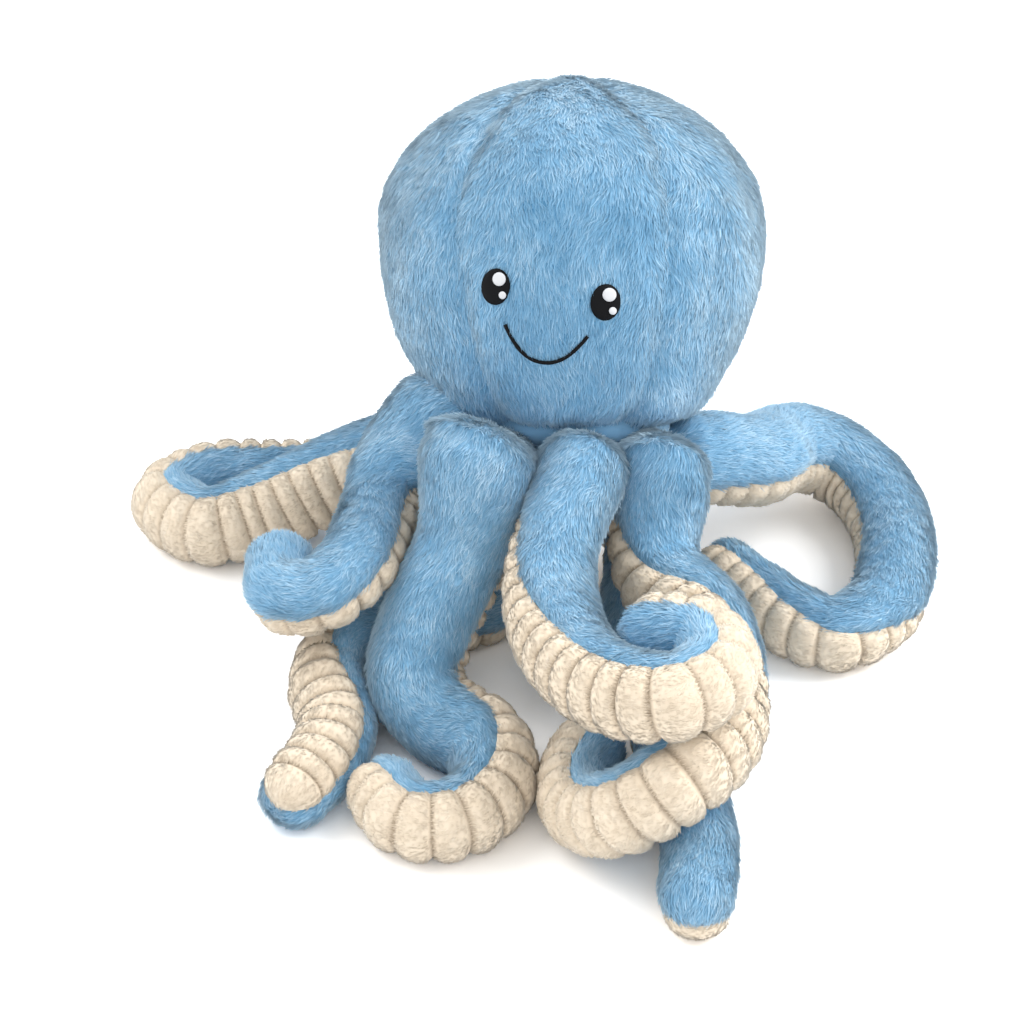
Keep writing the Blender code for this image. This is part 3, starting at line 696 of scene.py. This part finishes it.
def add_mesh(name, rows, surface, body):
    """A closed mesh from closed rows of points, with a cap at each end."""
    count, sides = rows.shape[:2]
    last = (count - 1) * sides
    caps = [list(range(sides - 1, -1, -1)), list(range(last, last + sides))]
    mesh = bpy.data.meshes.new(name)
    mesh.from_pydata(rows.reshape(-1, 3).tolist(), [], grid_faces(count, sides).tolist() + caps)
    mesh.validate()
    mesh.shade_smooth()
    return dressed(name, mesh, surface, body)


def keep_tones(mesh, shade):
    """Keeps a tone for each corner of a mesh's faces, where its material reads it."""
    layer = mesh.uv_layers.new(name="OFBake")
    values = np.stack((shade, np.full_like(shade, 0.5)), axis=1)
    layer.data.foreach_set("uv", values.astype(np.float32).ravel())


def follow(made, body):
    """Rides one body, or, where body is (arm, start, end), stays in place on no body."""
    if isinstance(body, str):
        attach(made, body)
    else:
        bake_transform(made)


def closed_skin(name, outer, inner, surface, body, tones=None):
    """A closed cover from a grid of outer points and a grid of inner ones."""
    rows = np.concatenate((inner, outer[:, ::-1]), axis=1)
    made = add_mesh(name, rows, surface, body)
    if tones is not None:
        shade = np.concatenate((np.full(inner.shape[:2], 0.5), tones[:, ::-1]), axis=1).ravel()
        corner = np.empty(len(made.data.loops), np.int32)
        made.data.loops.foreach_get("vertex_index", corner)
        keep_tones(made.data, shade[corner])
    return made


# Pile
def spread(grid, u, v, row, column):
    """Values of a grid at places inside its cells."""
    one, two = grid[row, column], grid[row + 1, column]
    three, four = grid[row, column + 1], grid[row + 1, column + 1]
    u, v = u[:, None], v[:, None]
    return one * (1.0 - u) * (1.0 - v) + two * u * (1.0 - v) + three * (1.0 - u) * v + four * u * v


def pile(name, points, out, flow, body, kind, look, slot, seed, tones=None, clear=None):
    """Tufts that lean along a skin. Each is a thin spike with three sides."""
    long, lifted, wide, share, unlike, foot_shade_tip_light = kind
    dice = np.random.default_rng(seed)
    crossing = np.cross(points[1:, 1:] - points[:-1, :-1], points[1:, :-1] - points[:-1, 1:])
    area = 0.5 * np.linalg.norm(crossing, axis=-1)
    cell = np.repeat(np.arange(area.size), dice.poisson(area / share).ravel())
    row, column = np.divmod(cell, area.shape[1])
    u, v = dice.random((2, len(cell)))
    place = spread(points, u, v, row, column)
    kept = place[:, 2] > BARE_HEIGHT
    if clear is not None:
        kept &= clear(place)
    place, u, v, row, column = place[kept], u[kept], v[kept], row[kept], column[kept]
    count = len(place)
    normal = units(spread(out, u, v, row, column))
    ahead = spread(flow, u, v, row, column)
    ahead = units(ahead - normal * (ahead * normal).sum(axis=1, keepdims=True))
    side = np.cross(normal, ahead)
    lock = waves(place, LOCK_LENGTH, seed + 100, 7)
    yaw = SWIRL_SHARE * waves(place, SWIRL_LENGTH, seed + 200) + LOCK_SHARE * lock
    yaw = (yaw + dice.normal(0.0, TUFT_YAW, count))[:, None]
    lean = ahead * np.cos(yaw) + side * np.sin(yaw)
    length = (long * dice.uniform(SHORTEST_TUFT, LONGEST_TUFT, count))[:, None]
    lift = lifted * (1.0 + 0.5 * waves(place, LIFT_LENGTH, seed + 300, 7))
    lift = (lift + dice.normal(0.0, TUFT_LIFT, count))[:, None]
    across = units(np.cross(lean, normal)) * (0.5 * wide)
    foot = place + normal * (0.25 * wide)
    tip = place + lean * length + normal * length * lift
    corners = np.stack((foot - across, foot + across, place - normal * (0.6 * wide), tip), axis=1)
    low = np.arange(count)[:, None] * 4
    sides = np.stack((low + (0, 1, 3), low + (1, 2, 3), low + (2, 0, 3)), axis=1).reshape(-1, 3)
    mesh = bpy.data.meshes.new(name)
    mesh.from_pydata(corners.reshape(-1, 3).tolist(), [], sides.tolist())
    mesh.shade_smooth()
    tilt = units(normal + LOCK_TILT * lean * lock[:, None] + dice.normal(0.0, TUFT_TILT, (count, 3)))
    mesh.normals_split_custom_set_from_vertices(np.repeat(tilt, 4, axis=0).tolist())
    tone = MIDDLE_TONE + FLECK_DEPTH * waves(place, FLECK_LENGTH, seed + 400)
    tone = tone + SHADE_DEPTH * waves(place, SHADE_LENGTH, seed + 500)
    if tones is not None:
        tone = tone - MIDDLE_TONE + spread(tones[..., None], u, v, row, column)[:, 0]
    tone = np.clip(tone + dice.normal(0.0, unlike, count), *TONE_LIMITS)
    # Painted light along each tuft: its feet darkened as painted shade inside the pile, its tip lightened
    painted_foot_shade_tip_light = foot_shade_tip_light * np.tile((-1.0, -1.0, 1.0), 3)
    keep_tones(mesh, np.clip(tone[:, None] + painted_foot_shade_tip_light, *TONE_LIMITS).ravel())
    return dressed(name, mesh, look, body)


def skin_normals(points, out):
    """Directions square to a grid of skin points, on the same side as the given ones."""
    square = units(np.cross(np.gradient(points, axis=0), np.gradient(points, axis=1)) + 1e-12)
    return square * np.sign((square * out).sum(axis=-1, keepdims=True))


def arm(name, seed, blue, cream, fur):
    stations = arm_stations(name)
    cut = DOME_STEPS + ROOT_RIBS * SKIN_PER_RIB
    free = DOME_STEPS + round(ROOT_FREE_RIBS * SKIN_PER_RIB)
    middles = stations["middle"]
    bend = (name, middles[DOME_STEPS + SKIN_PER_RIB].tolist(), middles[free].tolist())
    parts = (("root", 0, cut + 1, bend), ("", cut, len(middles), name))
    for part, surface_of, first, last, look, slot in (
        ("top", top_surface, -BLUE_HALF_ANGLE, BLUE_HALF_ANGLE, blue, "plush_blue"),
        ("underside", underside_surface, BLUE_HALF_ANGLE, OTHER_SEAM, cream, "ribbed_cream"),
    ):
        points, out, flow = surface_of(name, stations, seed)
        points[..., 2] = np.maximum(points[..., 2], 0.0)
        normals = skin_normals(points, out)
        tones = None
        if part == "underside":
            # Painted shade: the cream is darkened in the grooves between its ribs
            phase = abs(2.0 * (stations["ribs"] % 1.0) - 1.0)
            groove_shade = np.clip((phase - GROOVE_SHADE_START) / (1.0 - GROOVE_SHADE_START), 0.0, 1.0)
            groove_shade = np.where(stations["way"] == 0.0, groove_shade, 0.0)[:, None]
            mottle = CREAM_MOTTLE * waves(points, LOCK_LENGTH, seed + 9)
            tones = np.clip(CREAM_TONE - GROOVE_PAINTED_SHADE * groove_shade**GROOVE_SHADE_POWER + mottle, *TONE_LIMITS)
        around, _edge = sector(stations, first, last, INNER_SIDES)
        inner = arm_surface(stations, around, np.full_like(around, -PLUSH_THICKNESS))[0]
        for label, low, high, body in parts:
            stem = name + "_" + part + ("_root" if label else "")
            toned = None if tones is None else tones[low:high]
            made = closed_skin(stem + "_cover", points[low:high], inner[low:high], look, body, toned)
            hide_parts(name + "_" + part)
            tufts = (points[low:high], normals[low:high], flow[low:high])
            mixed = seed + (ROOT_PILE_SEED if label else 0)
            if part == "top":
                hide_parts(name + "_filling")
                pile(stem + "_pile", *tufts, body, BLUE_PILE, fur, slot, mixed)
            else:
                pile(stem + "_pile", *tufts, body, CREAM_PILE, cream, slot, mixed, toned)


# Face
def face_frame(along):
    outwards = ring_direction(np.array(HEAD_TURN))
    middle = from_head(np.array(0.0), 2.0 * HEAD_RADIUS, along)
    up = head_axis()
    return middle, np.cross(up, outwards), up, -outwards


def sewn_point(tree, place, across, rise, over):
    middle, right, up, inwards = place
    across, rise = (
        across * math.cos(FACE_TILT) - rise * math.sin(FACE_TILT),
        across * math.sin(FACE_TILT) + rise * math.cos(FACE_TILT),
    )
    hit = tree.ray_cast(Vector(middle + right * across + up * rise), Vector(inwards))[0]
    return np.array(hit) - inwards * over


def sewn_dome(name, tree, place, middle, size, levels, sides, surface, slot):
    """An oval of satin stitches, from its middle and size across and up the face."""
    rows = []
    for share, over in levels:
        row = []
        for turn in np.linspace(0.0, 2.0 * math.pi, sides, endpoint=False):
            across = middle[0] + 0.5 * size[0] * share * math.cos(turn)
            rise = middle[1] + 0.5 * size[1] * share * math.sin(turn)
            row.append(sewn_point(tree, place, across, rise, over))
        rows.append(row)
    return add_mesh(name, np.array(rows), surface, "root")


def mouth_rise(share):
    """The smile's height over its middle, for shares of its half width."""
    return MOUTH_DEPTH * (abs(share) ** MOUTH_POWER - 0.5)


def face_gaps():
    """Tells which places on the front are free of the stitches."""
    place, low = face_frame(EYE_ABOVE_BASE), face_frame(MOUTH_ABOVE_BASE)
    turn, lift = math.cos(FACE_TILT), math.sin(FACE_TILT)

    def on_face(places, frame_at):
        middle, right, up, _inwards = frame_at
        across, rise = (places - middle) @ right, (places - middle) @ up
        return across * turn + rise * lift, rise * turn - across * lift

    def clear(places):
        across, rise = on_face(places, place)
        kept = np.ones(len(places), bool)
        for side in (-1.0, 1.0):
            out = (across - FACE_OFFSET - 0.5 * EYE_SPACING * side) / (0.5 * EYE_WIDTH)
            kept &= out**2 + (rise / (0.5 * EYE_HEIGHT)) ** 2 > 1.0
        across, rise = on_face(places, low)
        share = np.clip((across - MOUTH_OFFSET) / (0.5 * MOUTH_WIDTH), -1.0, 1.0)
        near = np.hypot(rise - mouth_rise(share), across - MOUTH_OFFSET - share * 0.5 * MOUTH_WIDTH)
        return kept & (near > MOUTH_CLEARANCE)

    return clear


def face(front_points, black, white):
    count = front_points.shape[1]
    rows = front_points.shape[0]
    low = (np.arange(rows - 1)[:, None] * count + np.arange(count - 1)[None, :]).ravel()
    quads = np.stack((low, low + 1, low + count + 1, low + count), axis=1)
    tree = BVHTree.FromPolygons(front_points.reshape(-1, 3).tolist(), quads.tolist())
    place = face_frame(EYE_ABOVE_BASE)
    for name, side in (("left_eye", -1.0), ("right_eye", 1.0)):
        across = FACE_OFFSET + 0.5 * EYE_SPACING * side
        middle, size = (across, 0.0), (EYE_WIDTH, EYE_HEIGHT)
        patch = sewn_dome(name, tree, place, middle, size, EYE_LEVELS, EYE_SIDES, black, "thread_black")
        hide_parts(name + "_patch")
        for label, out, up, size in HIGHLIGHTS:
            stem = name + label + "_stitches"
            middle, size = (across + out * EYE_WIDTH, up * EYE_HEIGHT), (size, size)
            look = (SHINE_LEVELS, SHINE_SIDES, white, "thread_white")
            shine = sewn_dome(stem, tree, place, middle, size, *look)
            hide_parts(name + label)
    place = face_frame(MOUTH_ABOVE_BASE)
    middles = []
    for share in np.linspace(-1.0, 1.0, MOUTH_STEPS + 1):
        across = MOUTH_OFFSET + 0.5 * MOUTH_WIDTH * share
        middles.append(sewn_point(tree, place, across, mouth_rise(share), MOUTH_OVER_SKIN))
    middles = np.array(middles)
    along = units(np.gradient(middles, axis=0))
    out = -place[3]
    out = units(out - along * (along @ out)[:, None])
    side = np.cross(along, out)
    turns = np.linspace(0.0, 2.0 * math.pi, MOUTH_SIDES, endpoint=False)
    ring = out[:, None] * np.cos(turns)[None, :, None] + side[:, None] * np.sin(turns)[None, :, None]
    line = add_mesh("mouth_line", middles[:, None] + ring * MOUTH_THREAD, black, "root")
    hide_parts("mouth_stitching")


# Head
def head_profile(inset):
    """Radius, height over the base, and the outward direction's part across and part along."""
    widest, neck = HEAD_RADIUS - inset, neck_radius() - inset
    along = np.linspace(0.0, HEAD_DROP, HEAD_LOW_STEPS, endpoint=False)
    radius = neck + (widest - neck) * np.sin(0.5 * math.pi * along / HEAD_DROP) ** HEAD_SKIRT_POWER
    rise = np.radians(np.linspace(0.0, 88.5, HEAD_DOME_STEPS))
    radius = np.concatenate((radius, widest * np.cos(rise)))
    along = np.concatenate((along, HEAD_DROP + (HEAD_DOME_HEIGHT - inset) * np.sin(rise)))
    ahead = np.gradient(np.stack((radius, along), axis=1), axis=0)
    across = units(np.stack((ahead[:, 1], -ahead[:, 0]), axis=1))
    return radius, along, across


def head_rows(around, radius, along):
    """World points for rows of angles, each row at its own radius and height over the base."""
    shape = around.shape
    return from_head(around, np.broadcast_to(radius[:, None], shape), np.broadcast_to(along[:, None], shape))


def head_panel_surface(first, last):
    radius, along, across = head_profile(0.0)
    margin = (SEAM_MARGIN / radius)[:, None]
    around = (first + (last - first) * crowded(HEAD_SIDES, HEAD_CROWDING))[None, :]
    around = np.clip(around, first + margin, last - margin)
    edge = np.minimum(around - first, last - around) * radius[:, None]
    plain = head_rows(around, radius, along)
    crown = HEAD_CROWN * np.sin(math.pi * (around - first) / (last - first))
    crown = crown * np.clip(radius[:, None] / HEAD_RADIUS, 0.0, 1.0)
    tuck = HEAD_SEAM_TUCK * np.exp(-((edge / HEAD_SEAM_REACH) ** 2))
    tuck = tuck * np.clip(radius[:, None] / HEAD_SEAM_END, 0.0, 1.0)
    low = HEAD_HEM_TUCK * np.exp(-((along / HEAD_HEM_REACH) ** 2))[:, None]
    lumps = HEAD_LUMP_HEIGHT * waves(plain, HEAD_LUMP_LENGTH, HEAD_SKIN_SEED)
    wrinkles = HEAD_WRINKLE_HEIGHT * waves(plain, HEAD_WRINKLE_LENGTH, HEAD_SKIN_SEED + 1, 14)
    height = crown - tuck - low + (lumps + wrinkles) - HEAD_SINK
    radius = radius[:, None] + across[:, :1] * height
    along = along[:, None] + across[:, 1:] * height
    points = from_head(around, radius, along)
    out = ring_direction(around + HEAD_TURN) * across[:, :1, None] + head_axis() * across[:, 1:, None]
    flow = ring_direction(around + HEAD_TURN) * across[:, 1:, None] - head_axis() * across[:, :1, None]
    return points, out, flow


def head(blue, fur):
    covers = {}
    radius, along, _across = head_profile(HEAD_SKIN_DEPTH)
    margin = (SEAM_MARGIN / radius)[:, None]
    for name, first, last in HEAD_PANELS:
        points, out, flow = head_panel_surface(first, last)
        around = np.linspace(first, last, HEAD_INNER_SIDES + 1)[None, :]
        inner = head_rows(np.clip(around, first + margin, last - margin), radius, along)
        made = closed_skin(name + "_cover", points, inner, blue, "root")
        covers[name] = (made, points)
        clear = face_gaps() if name == "head_front" else None
        normals = skin_normals(points, out)
        # Painted light: tones grow lighter where the head turns away from the front, standing in for light on
        # its sides and top
        facing = abs(out @ ring_direction(HEAD_TURN))
        tones = HEAD_TONE + HEAD_PAINTED_RIM_LIGHT * (1.0 - facing) ** HEAD_PAINTED_RIM_POWER
        tufts = (points, normals, flow)
        seed = HEAD_PILE_SEED + len(covers)
        pile(name + "_pile", *tufts, "root", BLUE_PILE, fur, "plush_blue", seed, tones, clear)
        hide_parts(name + "_panel")
    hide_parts("head_filling")
    return covers


def base(blue):
    radius = neck_radius() - PLUSH_THICKNESS - TOUCH_GAP
    angles = np.linspace(0.0, 2.0 * math.pi, BASE_SIDES, endpoint=False)
    rows = []
    for share, drop in BASE_BULGE:
        rows.append(from_head(angles, np.full(BASE_SIDES, radius * share), np.full(BASE_SIDES, drop)))
    made = add_mesh("base_cover", np.array(rows), blue, "root")
    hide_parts("base_panel")


# Materials
def plain_material(name, color, roughness, sheen=0.0, tint=(1.0, 1.0, 1.0)):
    made = bpy.data.materials.new(name)
    made.use_nodes = True
    shader = made.node_tree.nodes["Principled BSDF"]
    shader.inputs["Base Color"].default_value = (*color, 1.0)
    shader.inputs["Roughness"].default_value = roughness
    shader.inputs["Sheen Weight"].default_value = sheen
    shader.inputs["Sheen Tint"].default_value = (*tint, 1.0)
    shader.inputs["Specular IOR Level"].default_value = SPECULAR_LEVEL
    return made


def pile_material(name, tones, sheen, tint):
    """Pile cloth: each tuft takes its tone from the map that its mesh holds."""
    made = plain_material(name, tones[1], PILE_ROUGHNESS, sheen, tint)
    nodes, links = made.node_tree.nodes, made.node_tree.links
    place = nodes.new("ShaderNodeUVMap")
    place.uv_map = "OFBake"
    split = nodes.new("ShaderNodeSeparateXYZ")
    ramp = nodes.new("ShaderNodeValToRGB")
    links.new(place.outputs["UV"], split.inputs["Vector"])
    links.new(split.outputs["X"], ramp.inputs["Fac"])
    links.new(ramp.outputs["Color"], nodes["Principled BSDF"].inputs["Base Color"])
    first, last = ramp.color_ramp.elements
    first.position, first.color = 0.1, (*tones[0], 1.0)
    last.position, last.color = 0.9, (*tones[2], 1.0)
    ramp.color_ramp.elements.new(0.5).color = (*tones[1], 1.0)
    return made


def floor_material():
    """White to the camera, a plain pale floor for the light that it throws back."""
    made = bpy.data.materials.new("floor_white")
    made.use_nodes = True
    nodes, links = made.node_tree.nodes, made.node_tree.links
    nodes.clear()
    path = nodes.new("ShaderNodeLightPath")
    level = nodes.new("ShaderNodeMapRange")
    level.inputs["To Min"].default_value = FLOOR_TONE
    level.inputs["To Max"].default_value = FLOOR_SEEN_TONE
    diffuse = nodes.new("ShaderNodeBsdfDiffuse")
    end = nodes.new("ShaderNodeOutputMaterial")
    links.new(path.outputs["Is Camera Ray"], level.inputs["Value"])
    links.new(level.outputs["Result"], diffuse.inputs["Color"])
    links.new(diffuse.outputs["BSDF"], end.inputs["Surface"])
    return made


def stage():
    mesh = bpy.data.meshes.new("floor")
    turns = ((-1.0, -1.0), (1.0, -1.0), (1.0, 1.0), (-1.0, 1.0))
    corners = [(FLOOR_REACH * across, FLOOR_REACH * back, 0.0) for across, back in turns]
    mesh.from_pydata(corners, [], [(0, 1, 2, 3)])
    floor = linked("floor", mesh)
    mesh.materials.append(floor_material())
    world = bpy.data.worlds.new("studio")
    bpy.context.scene.world = world
    world.use_nodes = True
    background = world.node_tree.nodes["Background"]
    background.inputs["Color"].default_value = (1.0, 1.0, 1.0, 1.0)
    background.inputs["Strength"].default_value = WORLD_LEVEL
    for name, place, size, power in LAMPS:
        light = bpy.data.lights.new(name, "AREA")
        light.size = size
        light.energy = power
        lamp = linked(name, light)
        lamp.location = place
        lamp.rotation_euler = (Vector(LAMP_AIM) - Vector(place)).to_track_quat("-Z", "Y").to_euler()


def camera():
    made = bpy.data.cameras.new("camera")
    made.lens = CAMERA_LENS
    made.sensor_width = CAMERA_FILM
    made.clip_end = CAMERA_REACH
    view = linked("camera", made)
    view.location = Vector(CAMERA_PLACE) + Vector(SHIFT)
    view.rotation_euler = (math.radians(90.0 - CAMERA_TILT), 0.0, 0.0)
    bpy.context.scene.camera = view


def main():
    bpy.context.scene.view_settings.view_transform = "Standard"
    blue = plain_material("blue_plush", BLUE_TONES[1], 0.9, 1.0, BLUE_SHEEN)
    cream = pile_material("cream_pile", CREAM_TONES, 0.5, CREAM_SHEEN)
    black = plain_material("black_thread", BLACK_THREAD, THREAD_ROUGHNESS)
    white = plain_material("white_thread", WHITE_THREAD, THREAD_ROUGHNESS)
    fur = pile_material("blue_pile", BLUE_TONES, 1.0, BLUE_SHEEN)
    covers = head(blue, fur)
    base(blue)
    face(covers["head_front"][1], black, white)
    for seed, name in enumerate(ARM_ROUTE_SHARES):
        arm(name, ARM_SEED + seed, blue, cream, fur)
    stage()
    camera()


main()
